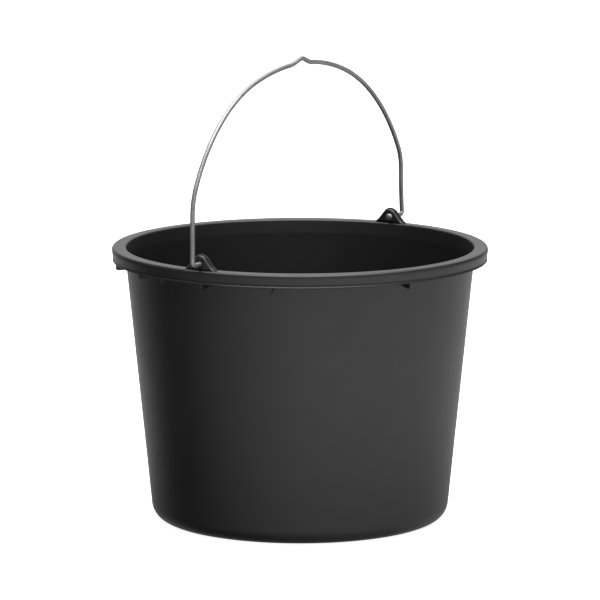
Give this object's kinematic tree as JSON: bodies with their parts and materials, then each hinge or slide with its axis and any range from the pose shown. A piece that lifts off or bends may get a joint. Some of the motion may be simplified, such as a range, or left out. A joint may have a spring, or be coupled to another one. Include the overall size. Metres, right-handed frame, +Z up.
{
  "type": "florist bucket",
  "caption": "Round tapered plastic florist bucket with a rolled rim, ears at its sides and a swinging wire bail with a small kink at its top.",
  "frame": {"origin": "middle of the standing ring, on the ground", "axes": "+Z up through the mouth, X along the bail's hinge axis from ear to ear, Y across it"},
  "size_m": [0.3396, 0.32, 0.3964],
  "materials": {
    "black_polypropylene": "satin moulded",
    "galvanised_wire": "dull zinc"
  },
  "bodies": {
    "bucket": {"bucket_body": "black_polypropylene"},
    "bail": {"bail_handle": "galvanised_wire"}
  },
  "joints": [
    {"name": "bail_hinge", "type": "hinge", "parent": "bucket", "child": "bail", "pos_m": [0, 0, 0.2397], "axis": [1, 0, 0], "range_deg": [-91, 91]}
  ]
}
